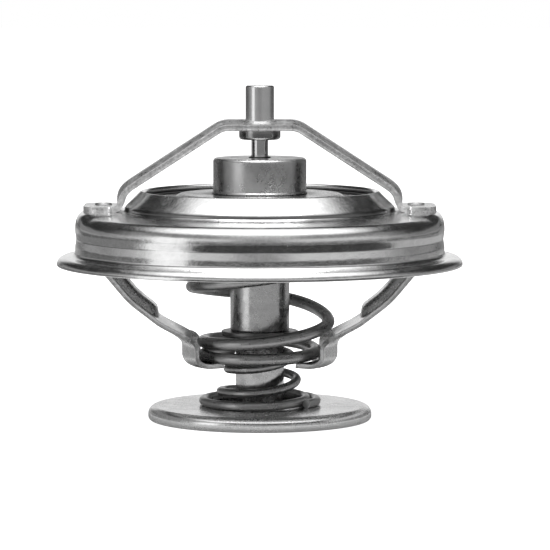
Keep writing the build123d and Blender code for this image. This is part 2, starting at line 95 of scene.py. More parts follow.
camera_data = bpy.data.cameras.new("camera")
camera_data.sensor_width = SENSOR_WIDTH
camera_data.lens = FOCAL_PIXELS * SENSOR_WIDTH / PICTURE_WIDTH
camera_data.shift_x = SHIFT_PIXELS[0] / PICTURE_WIDTH
camera_data.shift_y = SHIFT_PIXELS[1] / PICTURE_WIDTH
camera = bpy.data.objects.new("camera", camera_data)
camera.location = CAMERA_PLACE
camera.rotation_euler = (CAMERA_AIM - CAMERA_PLACE).to_track_quat("-Z", "Y").to_euler()
bpy.context.collection.objects.link(camera)
bpy.context.scene.camera = camera
print("lens in mm:", round(camera_data.lens, 1))

# %% [markdown]
# ## Lines with rounded corners
#
# Almost every piece here starts as a line on paper: straight runs with a radius at each corner. One
# helper turns such a list into points. A second one gives the line a thickness, as sheet metal has,
# and breaks the two cut ends with a small radius. The last two say how far a value has come between
# two limits, straight or with a soft start and end.

# %% Rounded lines
def rounded(corners, closed=False, arc_step=8.0):
    """Points of a line in mm, from corners (x, z, radius)."""
    count = len(corners)
    points = []
    for i, (x, z, radius) in enumerate(corners):
        here = Vector((x, z))
        if not closed and i in (0, count - 1):
            points.append(here)
            continue
        before = Vector(corners[i - 1][:2]) - here
        after = Vector(corners[(i + 1) % count][:2]) - here
        turn = pi - before.angle(after)
        if radius < 1e-4 or turn < radians(0.5):
            points.append(here)
            continue
        # Small radii of a closed line leave half of each run to the next corner.
        spare = 0.98 if not closed or radius > 1.0 else 0.5
        reach = min(radius * tan(turn / 2), before.length * spare, after.length * spare)
        radius = reach / tan(turn / 2)
        start = here + before.normalized() * reach
        inwards = (before.normalized() + after.normalized()).normalized()
        middle = here + inwards * radius / cos(turn / 2)
        side = 1 if before.x * after.y - before.y * after.x < 0 else -1
        steps = max(2, ceil(degrees(turn) / arc_step))
        first = start - middle
        for k in range(steps + 1):
            a = side * turn * k / steps
            swung = (first.x * cos(a) - first.y * sin(a), first.x * sin(a) + first.y * cos(a))
            points.append(middle + Vector(swung))
    return [(p.x, p.y) for p in points]


def beside(corners, distance):
    """The same line, moved to its left by a distance in mm."""
    places = [Vector(c[:2]) for c in corners]
    runs = [(b - a).normalized() for a, b in zip(places, places[1:])]
    sides = [Vector((-r.y, r.x)) for r in runs]
    moved = [(places[0] + sides[0] * distance, 0)]
    for place, (x, z, radius), before, after, r0, r1 in zip(
        places[1:-1], corners[1:-1], sides, sides[1:], runs, runs[1:]
    ):
        corner = place + (before + after) * (distance / (1 + before.dot(after)))
        left_turn = r0.x * r1.y - r0.y * r1.x > 0
        moved.append((corner, max(radius - distance if left_turn else radius + distance, 0.05)))
    moved.append((places[-1] + sides[-1] * distance, 0))
    return [(p.x, p.y, radius) for p, radius in moved]


def sheet_loop(corners, thickness, nose=0.12):
    """Closed outline of a bent sheet whose cut ends have a small radius."""
    near = [tuple(c) for c in corners]
    far = beside(corners, thickness)[::-1]
    loop = []
    for line in (near, far):
        loop.append((line[0][0], line[0][1], nose))
        loop += line[1:-1]
        loop.append((line[-1][0], line[-1][1], nose))
    return loop


def densified(points, longest):
    """The same points, with long runs divided."""
    out = []
    for a, b in zip(points, points[1:] + points[:1]):
        a, b = Vector(a), Vector(b)
        parts = max(1, ceil((b - a).length / longest))
        out += [tuple(a.lerp(b, k / parts)) for k in range(parts)]
    return out


def part_way(value, low, high):
    """How far a value has come from low to high, held between 0 and 1."""
    return min(max((value - low) / (high - low), 0.0), 1.0)


def smooth_step(value, low, high):
    t = part_way(value, low, high)
    return t * t * (3 - 2 * t)

# %% [markdown]
# ## From a tree to a plain mesh
#
# Geometry Nodes build the turned pieces and the springs. Their result becomes one plain mesh for each
# piece. The same helper recalculates the normals of closed shells and marks the sharp edges, so that
# light breaks only where the metal does.

# %% Plain meshes
SAME_PLACE = 2e-7
NO_LENGTH = 1e-8


def link(obj):
    bpy.context.collection.objects.link(obj)
    return obj


def plain(obj, name, sharp=35.0):
    """A new object that holds the evaluated mesh of obj; obj and its modifiers are removed."""
    graph = bpy.context.evaluated_depsgraph_get()
    mesh = bpy.data.meshes.new_from_object(obj.evaluated_get(graph), depsgraph=graph)
    bpy.data.objects.remove(obj)
    work = bmesh.new()
    work.from_mesh(mesh)
    bmesh.ops.remove_doubles(work, verts=work.verts, dist=SAME_PLACE)
    bmesh.ops.dissolve_degenerate(work, edges=work.edges, dist=NO_LENGTH)
    bmesh.ops.recalc_face_normals(work, faces=work.faces)
    for face in work.faces:
        face.smooth = True
    for edge in work.edges:
        edge.smooth = len(edge.link_faces) == 2 and edge.calc_face_angle(0) < radians(sharp)
    work.to_mesh(mesh)
    work.free()
    mesh.name = name
    return link(bpy.data.objects.new(name, mesh))


def finish_piece(obj, body, material, slot, *nodes):
    """Hides the imported nodes that the piece replaces and gives it its material and body. slot is not
    used. A piece with two materials keeps them.
    """
    if len(obj.data.materials) < 2:
        obj.data.materials.clear()
        obj.data.materials.append(material)
    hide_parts(*nodes)
    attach(obj, body)
    print(f"{obj.name}: {len(obj.data.polygons)} faces on {body}")
    return obj

# %% [markdown]
# ## The finishes
#
# Pressed sheet, turned steel and spring wire are the same metal with other surfaces. Three node
# groups carry what they share. One gives the cloudy, fine grain of plated sheet, the next the faint
# rings that a lathe leaves. The third paints shade into the colour on a ring in a crease or under a
# part. Each material places the groups with its own sizes and keeps its own shader.

# %% Building with nodes
def new_tree(name, kind, inputs, outputs):
    """A node tree with named inputs (label, kind, value) and outputs (label, kind)."""
    tree = bpy.data.node_groups.new(name, kind)
    for label, holds, value in inputs:
        socket = tree.interface.new_socket(label, in_out="INPUT", socket_type="NodeSocket" + holds)
        if value is not None:
            socket.default_value = value
    for label, holds in outputs:
        tree.interface.new_socket(label, in_out="OUTPUT", socket_type="NodeSocket" + holds)
    return tree, tree.nodes.new("NodeGroupInput"), tree.nodes.new("NodeGroupOutput")


def feed(tree, socket, value):
    """Sets a socket to a number, or links another node's output to it."""
    if isinstance(value, (int, float)):
        socket.default_value = value
    else:
        tree.links.new(value, socket)


def math_node(tree, operation, *values):
    node = tree.nodes.new("ShaderNodeMath")
    node.operation = operation
    for socket, value in zip(node.inputs, values):
        feed(tree, socket, value)
    return node.outputs[0]


def noise_node(tree, vector, scale, detail):
    node = tree.nodes.new("ShaderNodeTexNoise")
    tree.links.new(vector, node.inputs["Vector"])
    feed(tree, node.inputs["Scale"], scale)
    node.inputs["Detail"].default_value = detail
    return node.outputs["Fac"]


def fade_node(tree, value, low, high, tone_low=0.0, tone_high=1.0, kind="SMOOTHSTEP"):
    """Runs from one tone to the other while the value runs from low to high."""
    node = tree.nodes.new("ShaderNodeMapRange")
    node.interpolation_type = kind
    labels = ("Value", "From Min", "From Max", "To Min", "To Max")
    for label, number in zip(labels, (value, low, high, tone_low, tone_high)):
        feed(tree, node.inputs[label], number)
    return node.outputs[0]


def tinted(tree, colour, factor):
    """The colour with its brightness multiplied by a factor."""
    node = tree.nodes.new("ShaderNodeVectorMath")
    node.operation = "SCALE"
    tree.links.new(colour, node.inputs[0])
    tree.links.new(factor, node.inputs["Scale"])
    return node.outputs[0]


def object_place(tree):
    """The place on the object, whole and as its three parts."""
    place = tree.nodes.new("ShaderNodeTexCoord").outputs["Object"]
    split = tree.nodes.new("ShaderNodeSeparateXYZ")
    tree.links.new(place, split.inputs[0])
    return place, *split.outputs


def root_of_squares(tree, a, b):
    squares = [math_node(tree, "MULTIPLY", value, value) for value in (a, b)]
    return math_node(tree, "SQRT", math_node(tree, "ADD", *squares))

# %% Shared surface groups
LOOK = [("Colour", "Color"), ("Roughness", "Float"), ("Height", "Float")]
# Scales of the noises, in patches per metre
CLOUD_SCALE, MOTTLE_SCALE, DRAWN_SCALE, SMUDGE_SCALE = 130.0, 620.0, 1400.0, 260.0
SMUDGE = 0.12


def sheet_grain_group():
    group, entry, leave = new_tree(
        "Sheet grain",
        "ShaderNodeTree",
        [
            ("Tone", "Color", (0.7, 0.7, 0.7, 1)),
            ("Roughness", "Float", 0.3),
            ("Grain size", "Float", 0.0004),
            ("Grain", "Float", 0.06),
            ("Clouds", "Float", 0.08),
        ],
        LOOK,
    )
    given, calc = entry.outputs, partial(math_node, group)
    place = object_place(group)[0]
    fine = noise_node(group, place, calc("DIVIDE", 1.0, given["Grain size"]), 4.0)
    wide = noise_node(group, place, CLOUD_SCALE, 5.0)
    mottle = noise_node(group, place, MOTTLE_SCALE, 4.0)
    clouds = calc("MULTIPLY", calc("ADD", wide, mottle), 0.5)
    streaks = group.nodes.new("ShaderNodeMapping")
    group.links.new(place, streaks.inputs["Vector"])
    streaks.inputs["Scale"].default_value = (0.15, 1.0, 1.0)
    drawn = noise_node(group, streaks.outputs[0], DRAWN_SCALE, 2.0)
    centred, cloud, line = [calc("SUBTRACT", value, 0.5) for value in (fine, clouds, drawn)]
    grain = calc("MULTIPLY", calc("ADD", centred, line), given["Grain"])
    drift = calc("MULTIPLY", cloud, given["Clouds"])
    factor = calc("ADD", 1.0, calc("ADD", grain, drift))
    group.links.new(tinted(group, given["Tone"], factor), leave.inputs["Colour"])
    rough = calc("MULTIPLY_ADD", cloud, given["Clouds"], given["Roughness"])
    rough = calc("MULTIPLY_ADD", centred, given["Grain"], rough)
    group.links.new(rough, leave.inputs["Roughness"])
    group.links.new(calc("ADD", fine, drawn), leave.inputs["Height"])
    return group


def lathe_lines_group():
    group, entry, leave = new_tree(
        "Lathe lines",
        "ShaderNodeTree",
        [
            ("Tone", "Color", (0.6, 0.6, 0.6, 1)),
            ("Roughness", "Float", 0.3),
            ("Line pitch", "Float", 0.00012),
            ("Lines", "Float", 0.08),
        ],
        LOOK,
    )
    given, calc = entry.outputs, partial(math_node, group)
    place, x, y, z = object_place(group)
    rings = group.nodes.new("ShaderNodeCombineXYZ")
    group.links.new(root_of_squares(group, x, y), rings.inputs[0])
    group.links.new(z, rings.inputs[2])
    lines = noise_node(group, rings.outputs[0], calc("DIVIDE", 1.0, given["Line pitch"]), 2.0)
    smudges = noise_node(group, place, SMUDGE_SCALE, 4.0)
    line = calc("SUBTRACT", lines, 0.5)
    smudge = calc("MULTIPLY", calc("SUBTRACT", smudges, 0.5), SMUDGE)
    factor = calc("MULTIPLY_ADD", line, given["Lines"], calc("ADD", 1.0, smudge))
    group.links.new(tinted(group, given["Tone"], factor), leave.inputs["Colour"])
    rough = calc("MULTIPLY_ADD", line, given["Lines"], given["Roughness"])
    group.links.new(calc("ADD", rough, smudge), leave.inputs["Roughness"])
    group.links.new(lines, leave.inputs["Height"])
    return group


def painted_crease_shade_group():
    """A mask for painted shade, 1 on a ring round the axis and fading out over a width."""
    group, entry, leave = new_tree(
        "Painted crease shade",
        "ShaderNodeTree",
        [("Radius", "Float", 0.02), ("Height", "Float", 0.0), ("Width", "Float", 0.0005)],
        [("Mask", "Float")],
    )
    given, calc = entry.outputs, partial(math_node, group)
    place, x, y, z = object_place(group)
    out = calc("SUBTRACT", root_of_squares(group, x, y), given["Radius"])
    over = calc("SUBTRACT", z, given["Height"])
    away = root_of_squares(group, out, over)
    group.links.new(fade_node(group, away, 0.0, given["Width"], 1.0, 0.0), leave.inputs["Mask"])
    return group


CREASE_SHADE_TREE = painted_crease_shade_group()
SHEET_GRAIN = sheet_grain_group()
LATHE_LINES = lathe_lines_group()

# %% [markdown]
# Spun and drawn pieces stretch their reflections round the axis, so some materials turn their
# highlights with a tangent. The relief is a few hundredths of a millimetre deep at the most.

# %% Materials
RELIEF_STRENGTH = 0.6
# How far the ring of painted shade darkens the base colour.
PAINTED_SHADE_DEPTH = -0.85


def surface(name, group, tone, values, metallic=1.0, bump=20, spun=0.0, crease=None):
    """A material on a shared group. bump is in microns, spun stretches the reflections round
    the axis, and crease is the radius, height and width in mm of a ring of painted shade."""
    material = bpy.data.materials.new(name)
    material.use_nodes = True
    tree = material.node_tree
    shader = tree.nodes["Principled BSDF"]
    shader.inputs["Metallic"].default_value = metallic
    look = tree.nodes.new("ShaderNodeGroup")
    look.node_tree = group
    colour = (tone, tone, tone) if isinstance(tone, float) else tone
    look.inputs["Tone"].default_value = (*colour, 1)
    for label, value in values.items():
        look.inputs[label].default_value = value
    if spun:
        rings = tree.nodes.new("ShaderNodeTangent")
        rings.direction_type = "RADIAL"
        rings.axis = "Z"
        tree.links.new(rings.outputs[0], shader.inputs["Tangent"])
        shader.inputs["Anisotropic"].default_value = spun
    relief = tree.nodes.new("ShaderNodeBump")
    relief.inputs["Distance"].default_value = bump * MICRON
    relief.inputs["Strength"].default_value = RELIEF_STRENGTH
    base = look.outputs["Colour"]
    # Painted shade: the base colour is darkened on a ring in a crease or under a part.
    if crease:
        shade_node = tree.nodes.new("ShaderNodeGroup")
        shade_node.node_tree = CREASE_SHADE_TREE
        for label, value in zip(("Radius", "Height", "Width"), crease):
            shade_node.inputs[label].default_value = value * MM
        shade = math_node(tree, "MULTIPLY_ADD", shade_node.outputs["Mask"], PAINTED_SHADE_DEPTH, 1.0)
        base = tinted(tree, base, shade)
    tree.links.new(base, shader.inputs["Base Color"])
    tree.links.new(look.outputs["Roughness"], shader.inputs["Roughness"])
    tree.links.new(look.outputs["Height"], relief.inputs["Height"])
    tree.links.new(relief.outputs["Normal"], shader.inputs["Normal"])
    material.diffuse_color = shader.inputs["Base Color"].default_value
    return material


def sheet(name, tone, roughness, grain, clouds, **more):
    values = {"Roughness": roughness, "Grain": grain, "Clouds": clouds}
    return surface(name, SHEET_GRAIN, tone, values, **more)


def lathed(name, tone, roughness, lines, **more):
    return surface(name, LATHE_LINES, tone, {"Roughness": roughness, "Lines": lines}, **more)


# The shell paints shade into its colour in the crease at the root of the seat cone.
shell_metal = sheet(
    "Drawn shell metal", 0.76, 0.19, 0.18, 0.30, spun=0.4, crease=(22.1, 9.25, 0.75)
)
strap_metal = sheet("Strap metal", 0.74, 0.33, 0.35, 0.55, metallic=0.9, bump=12)
leg_metal = sheet("Cage strap metal", 0.70, 0.28, 0.35, 0.70)
cut_metal = sheet("Cut edge", 0.68, 0.42, 0.60, 0.80, metallic=0.9)
# The plate paints shade into its colour round the foot of the cap.
plate_metal = sheet(
    "Valve plate metal", 0.46, 0.28, 0.30, 0.60, spun=0.4, crease=(8.0, 11.8, 2.2)
)
disc_metal = sheet("Bypass disc metal", 0.90, 0.26, 0.10, 0.24, bump=5, spun=0.3)
cap_metal = sheet("Element cap metal", 0.48, 0.30, 0.14, 0.60, bump=5)
case_metal = sheet("Element case metal", 0.64, 0.27, 0.20, 1.10, bump=15)
# The pin paints shade into its colour on the collar, under the bridge.
pin_metal = lathed("Adjuster pin steel", 0.72, 0.22, 0.03, bump=0.5, crease=(4.0, 21.5, 1.7))
piston_metal = lathed("Piston steel", 0.60, 0.14, 0.03, bump=0.5)
rivet_metal = sheet("Rivet metal", 0.42, 0.42, 0.40, 0.60)
wire_metal = sheet("Spring wire", 0.42, 0.33, 0.30, 0.50)
washer_metal = sheet("Washer steel", 0.30, 0.38, 0.30, 0.30)
brass = lathed("Guide brass", (0.71, 0.55, 0.27), 0.30, 0.10, bump=2)
rubber = sheet("Seal rubber", 0.02, 0.55, 0.25, 0.25, metallic=0.0, bump=30)
wax = sheet("Wax with metal powder", (0.78, 0.74, 0.62), 0.6, 0.20, 0.10, metallic=0.0)
print("materials:", len(bpy.data.materials))

# %% [markdown]
# ## Turned pieces
#
# The shell, the plate, the cap, the pins and the disc are all round. Their section is one outline,
# swept round the axis. The tree below does that sweep: it lays a grid, reads a section point for each
# column, turns each row by its share of the circle, and closes the seam. A finer count of steps round
# the rim costs nothing but faces, so the large shell gets more of them than a thin pin.

# %% The turning tree
def geometry_tree(name, *inputs):
    finish = ("Finish", "Material", None)
    return new_tree(name, "GeometryNodeTree", [*inputs, finish], [("Geometry", "Geometry")])


def hand_out(tree, entry, leave, geometry):
    """Makes the geometry real, gives it the finish and passes it on."""
    whole = tree.nodes.new("GeometryNodeRealizeInstances")
    dress = tree.nodes.new("GeometryNodeSetMaterial")
    tree.links.new(geometry, whole.inputs[0])
    tree.links.new(whole.outputs[0], dress.inputs["Geometry"])
    tree.links.new(entry.outputs["Finish"], dress.inputs["Material"])
    tree.links.new(dress.outputs[0], leave.inputs["Geometry"])


def turning_tree():
    tree, entry, leave = geometry_tree(
        "Turned section",
        ("Section", "Object", None),
        ("Closed section", "Bool", True),
        ("Steps round", "Int", 96),
    )
    node, wire, calc = tree.nodes.new, tree.links.new, partial(math_node, tree)
    given = entry.outputs
    section = node("GeometryNodeObjectInfo")
    wire(given["Section"], section.inputs["Object"])
    size = node("GeometryNodeAttributeDomainSize")
    wire(section.outputs["Geometry"], size.inputs["Geometry"])
    count = size.outputs["Point Count"]
    rows = calc("ADD", given["Steps round"], 1)
    grid = node("GeometryNodeMeshGrid")
    wire(calc("ADD", count, given["Closed section"]), grid.inputs["Vertices X"])
    wire(rows, grid.inputs["Vertices Y"])
    index = node("GeometryNodeInputIndex").outputs[0]
    column = calc("FLOOR", calc("DIVIDE", calc("ADD", index, 0.5), rows))
    row = calc("SUBTRACT", index, calc("MULTIPLY", column, rows))
    angle = calc("MULTIPLY", calc("DIVIDE", row, given["Steps round"]), 2 * pi)
    pick = node("GeometryNodeSampleIndex")
    pick.data_type = "FLOAT_VECTOR"
    wire(section.outputs["Geometry"], pick.inputs["Geometry"])
    wire(node("GeometryNodeInputPosition").outputs[0], pick.inputs["Value"])
    wire(calc("MODULO", column, count), pick.inputs["Index"])
    parts = node("ShaderNodeSeparateXYZ")
    wire(pick.outputs["Value"], parts.inputs[0])
    place = node("ShaderNodeCombineXYZ")
    wire(calc("MULTIPLY", parts.outputs[0], calc("COSINE", angle)), place.inputs[0])
    wire(calc("MULTIPLY", parts.outputs[0], calc("SINE", angle)), place.inputs[1])
    wire(parts.outputs[2], place.inputs[2])
    turn = node("GeometryNodeSetPosition")
    wire(grid.outputs["Mesh"], turn.inputs["Geometry"])
    wire(place.outputs[0], turn.inputs["Position"])
    seam = node("GeometryNodeMergeByDistance")
    wire(turn.outputs[0], seam.inputs["Geometry"])
    seam.inputs["Distance"].default_value = SAME_PLACE
    hand_out(tree, entry, leave, seam.outputs[0])
    return tree


def guide_line(name, points, closed):
    """A mesh of points joined in order; points are in mm."""
    mesh = bpy.data.meshes.new(name)
    last = len(points) - 1
    edges = [(i, i + 1) for i in range(last)] + ([(last, 0)] if closed else [])
    mesh.from_pydata([Vector(p) * MM for p in points], edges, [])
    return link(bpy.data.objects.new(name, mesh))


def made_by(tree, name, guide, values, sharp):
    """The plain mesh that a tree makes with its named inputs; the guide line is removed."""
    making = link(bpy.data.objects.new(name + "_making", bpy.data.meshes.new(name + "_making")))
    modifier = making.modifiers.new("making", "NODES")
    modifier.node_group = tree
    for item in tree.interface.items_tree:
        if item.item_type == "SOCKET" and item.in_out == "INPUT" and item.name in values:
            modifier[item.identifier] = values[item.name]
    bpy.context.view_layer.update()
    piece = plain(making, name, sharp)
    bpy.data.objects.remove(guide)
    return piece


TURNING = turning_tree()


def turned(name, section, material, steps=96, closed=True, sharp=35.0):
    """A round piece from its section, a list of (radius, height) in mm."""
    outline = guide_line(name + "_section", [(r, 0, z) for r, z in section], closed)
    values = {"Section": outline, "Closed section": closed, "Steps round": steps, "Finish": material}
    return made_by(TURNING, name, outline, values, sharp)

# %% [markdown]
# ## The flange, the dome and the seat
#
# One disc of sheet is drawn into a rim, an upright wall with a shallow waist, a shoulder and a cone.
# The cone is the seat of the valve. The waist and the slopes decide where the dark and light bands
# run. The shoulder falls a little outwards, except under the feet of the bridge, where a level pad
# is pressed.

# %% Flange shell
shell_line = [
    (33.5, 1.5, 0), (30.5, 1.5, 0.8), (30.5, 3.1, 2.5), (30.3, 4.4, 1.2), (30.5, 5.5, 2.5),
    (30.5, 6.53, 3.4), (29.82, 8.18, 1.84), (22.3, 8.9, 0.35), (22.3, 9.6, 1.05), (19.45, 12.45, 0),
]
shell_loop = sheet_loop(shell_line, 1.0, 0.25)
# The rim's upper edge and the seat's cut end are round, and the rim is thicker than the dome.
shell_loop[0] = (33.5, 1.5, 1.25)
for corner in (9, 10):
    shell_loop[corner] = (*shell_loop[corner][:2], 0.48)
shell_loop[-2:] = [(29.5, 0, 2.0), (33.5, 0, 0.15)]
shell_section = densified(rounded(shell_loop, True, 5.0), 1.5)
shell = turned("shell_dressed", shell_section, shell_metal, 256, sharp=50)

# Where the shoulder falls, how the lift fades down the wall, and how it fades beside a pad
PAD_RISE = 0.72
SHOULDER_RADII, WALL_HEIGHTS, PAD_SIDE = (22.3, 29.8), (4.6, 7.9), (6.6, 10.6)


def raise_pads(point):
    """Lifts the shoulder back to its level under each foot of the bridge."""
    outwards = part_way(sqrt(point.x ** 2 + point.y ** 2) / MM, *SHOULDER_RADII)
    height = part_way(point.z / MM, *WALL_HEIGHTS)
    beside_pad = smooth_step(abs(point.y) / MM, *PAD_SIDE)
    point.z += PAD_RISE * outwards * height * (1 - beside_pad) * MM


for vertex in shell.data.vertices:
    raise_pads(vertex.co)
shell.data.update()
finish_piece(shell, "frame", shell_metal, "plated_sheet", "flange_shell")

# %% [markdown]
# ## The valve plate and its rubber
#
# The plate is pressed too: a flat middle, a small step down and a rim that slopes at the seat's
# angle. Black rubber is moulded over that rim. It shows as a thin dark line inside the seat.

# %% Valve plate and seal
plate_line = [
    (20.3, 8.8, 0), (18.1, 11.0, 1.1), (14.25, 11.0, 0.4), (13.45, 11.8, 1.1), (4.95, 11.8, 0),
]
plate_section = densified(rounded(sheet_loop(plate_line, 1.0, 0.1), True), 1.5)
plate = turned("plate_dressed", plate_section, plate_metal, 192)
finish_piece(plate, "valve", plate_metal, "plated_sheet", "valve_plate")
seal_corners = [
    (19.7, 9.4, 0.05), (20.97, 9.4, 0.3), (19.12, 11.25, 0.3), (18.1, 11.25, 0.15),
    (18.1, 11.02, 0.05),
]
seal = turned("seal_dressed", rounded(seal_corners, True), rubber, 192)
finish_piece(seal, "valve", rubber, "seal_rubber", "valve_seal")

# %% [markdown]
# ## The wax element
#
# A drawn cap clamps the guide and the case on the plate. The long case below holds the wax, and its
# stem carries the bypass disc. A small rubber lip wipes the piston where it enters the cap.

# %% Cap, lip and case
cap_corners = [
    (6.75, 11.8, 0.05), (7.85, 11.8, 0.12), (7.85, 12.05, 0.12), (7.7, 12.3, 0.1),
    (7.7, 17.7, 0.55), (1.85, 17.7, 0.12), (1.85, 16.7, 0.05), (6.75, 16.7, 0.1),
]
cap = turned("cap_dressed", densified(rounded(cap_corners, True), 1.5), cap_metal, 128)
finish_piece(cap, "valve", cap_metal, "element_metal", "element_collar")
lip_corners = [
    (1.45, 16.2, 0.05), (3.0, 16.2, 0.1), (3.0, 16.7, 0.1), (1.8, 16.7, 0.05),
    (1.8, 17.85, 0.12), (1.45, 17.85, 0.08),
]
lip = turned("lip_dressed", rounded(lip_corners, True), rubber, 64)
finish_piece(lip, "valve", rubber, "seal_rubber", "scraper_ring")
case_corners = [
    (0, -25.6, 0), (4.0, -25.6, 0.3), (4.0, -24.87, 0.05), (3.45, -24.87, 0.05),
    (3.45, -24.23, 0.05), (4.0, -24.23, 0.05), (4.0, -10.9, 0.2), (4.9, -10.9, 0.35),
    (4.9, 11.8, 0.1), (6.7, 11.8, 0.1), (6.7, 13.0, 0.1), (4.1, 13.0, 0.1), (4.1, -10.1, 0.1),
    (0, -10.1, 0),
]
case = turned("case_dressed", rounded(case_corners), case_metal, 96, closed=False)
finish_piece(case, "valve", case_metal, "element_metal", "element_cup")

# %% [markdown]
# ## The pin, the piston and the rivets
#
# These are turned from bar. The adjuster pin is fixed in the bridge by a small swaged ring, and its
# collar sits below the strap. The piston is ground and polished, because the rubber lip runs on it.
# Each rivet has a low head with a dimple from the tool.

# %% Pin, piston and rivets
pin_corners = [
    (0, 20.7, 0), (3.42, 20.7, 0.5), (3.42, 22.3, 0.12), (2.35, 22.3, 0.02), (2.35, 23.3, 0.02),
    (2.48, 23.3, 0.05), (2.48, 23.5, 0.1), (2.35, 23.65, 0.1), (2.35, 29.6, 0.28), (0, 29.6, 0),
]
pin = turned("pin_dressed", rounded(pin_corners), pin_metal, 96, closed=False)
finish_piece(pin, "frame", pin_metal, "turned_steel", "piston_socket")
piston_corners = [(0, -5.5, 0), (1.4, -5.5, 0.9), (1.4, 20.8, 0), (0, 20.8, 0)]
piston = turned("piston_dressed", rounded(piston_corners), piston_metal, 64, closed=False)
finish_piece(piston, "frame", piston_metal, "polished_steel", "piston")
rivet_corners = [
    (0, 6.5, 0), (1.2, 6.5, 0.25), (1.2, 7.1, 0.05), (0.95, 7.12, 0.02), (0.95, 9.88, 0.02),
    (1.4, 9.9, 0.08), (1.4, 10.2, 0.2), (0.62, 10.2, 0.12), (0.5, 9.7, 0.1), (0, 9.65, 0),
]
for rivet_name, rivet_x in (("rivet_left", -25.8), ("rivet_right", 25.8)):
    rivet = turned(rivet_name + "_dressed", rounded(rivet_corners), rivet_metal, 48, closed=False)
    for vertex in rivet.data.vertices:
        vertex.co.x += rivet_x * MM
    finish_piece(rivet, "frame", rivet_metal, "rivet_metal", rivet_name)

# %% [markdown]
# ## The bypass disc and its washer
#
# The disc slides on the stem and closes the bypass port when the engine is hot. It is drawn like a
# flat cap, and its lower edge is rounded. The rounded shoulder mirrors the dark underside of the
# dome as one thin band.

# %% Disc and washer
disc_corners = [
    (18.5, -23.3, 1.35), (4.05, -23.3, 0.1), (4.05, -24.2, 0.1), (17.2, -24.2, 0.4),
    (17.2, -25.7, 0.2), (18.5, -25.7, 0.95),
]
disc_section = densified(rounded(disc_corners, True, 4.0), 1.2)
disc = turned("disc_dressed", disc_section, disc_metal, 192, sharp=50)
finish_piece(disc, "bypass", disc_metal, "plated_sheet", "bypass_disc")
washer_corners = [(4.05, -11.7, 0.08), (6.35, -11.7, 0.15), (6.35, -10.9, 0.15), (4.05, -10.9, 0.08)]
washer = turned("washer_dressed", rounded(washer_corners, True), washer_metal, 96)
finish_piece(washer, "valve", washer_metal, "turned_steel", "spring_washer")

# %% [markdown]
# ## The two springs
#
# Both springs are conical and wound right-handed from round wire. Their turns are not even: the end
# turns lie flat, and the middle ones spread. A short table gives the radius and the height at each
# angle, and a smooth curve joins the entries. The tree then sweeps a round wire along that curve.

# %% Spring wire tree
def wire_tree():
    tree, entry, leave = geometry_tree(
        "Coiled wire",
        ("Centreline", "Object", None),
        ("Wire thickness", "Float", 0.0018),
        ("Sides", "Int", 24),
    )
    node, wire = tree.nodes.new, tree.links.new
    centre = node("GeometryNodeObjectInfo")
    wire(entry.outputs["Centreline"], centre.inputs["Object"])
    course = node("GeometryNodeMeshToCurve")
    wire(centre.outputs["Geometry"], course.inputs[0])
    ring = node("GeometryNodeCurvePrimitiveCircle")
    wire(entry.outputs["Sides"], ring.inputs["Resolution"])
    wire(math_node(tree, "DIVIDE", entry.outputs["Wire thickness"], 2.0), ring.inputs["Radius"])
    sweep = node("GeometryNodeCurveToMesh")
    wire(course.outputs[0], sweep.inputs["Curve"])
    wire(ring.outputs[0], sweep.inputs["Profile Curve"])
    sweep.inputs["Fill Caps"].default_value = True
    hand_out(tree, entry, leave, sweep.outputs[0])
    return tree


COILED_WIRE = wire_tree()
DEGREES_PER_STEP = 6


def eased(stations, angle, column):
    """Value between two stations, on a smooth curve through all of them."""
    last = max(i for i in range(len(stations) - 1) if stations[i][0] <= angle)

    def slope(i):
        if i in (0, len(stations) - 1):
            return 0.0
        before, after = stations[i - 1], stations[i + 1]
        return (after[column] - before[column]) / (after[0] - before[0])

    a, b = stations[last], stations[last + 1]
    span = b[0] - a[0]
    t = (angle - a[0]) / span
    value = a[column] + (b[column] - a[column]) * t * t * (3 - 2 * t)
    return value + t * (1 - t) ** 2 * slope(last) * span + t * t * (t - 1) * slope(last + 1) * span


def spring(name, node_name, stations, radii, heights, thickness, body):
    """A coil; radii and heights are (start, end) in mm, and the stations say when each is met."""
    first, last = stations[0][0], stations[-1][0]
    steps = int((last - first) / DEGREES_PER_STEP)
    points = []
    for k in range(steps + 1):
        angle = first + (last - first) * k / steps
        radius = radii[0] + (radii[1] - radii[0]) * eased(stations, angle, 1)
        height = heights[0] + (heights[1] - heights[0]) * eased(stations, angle, 2)
        points.append((radius * cos(radians(angle)), radius * sin(radians(angle)), height))
    centre = guide_line(name + "_centre", points, False)
    values = {"Centreline": centre, "Wire thickness": thickness * MM, "Sides": 24, "Finish": wire_metal}
    piece = made_by(COILED_WIRE, name, centre, values, 50)
    return finish_piece(piece, body, wire_metal, "spring_steel", node_name)

# %% [markdown]
# The wire here is a little thicker than the imported one, whose thickness stands beside it.

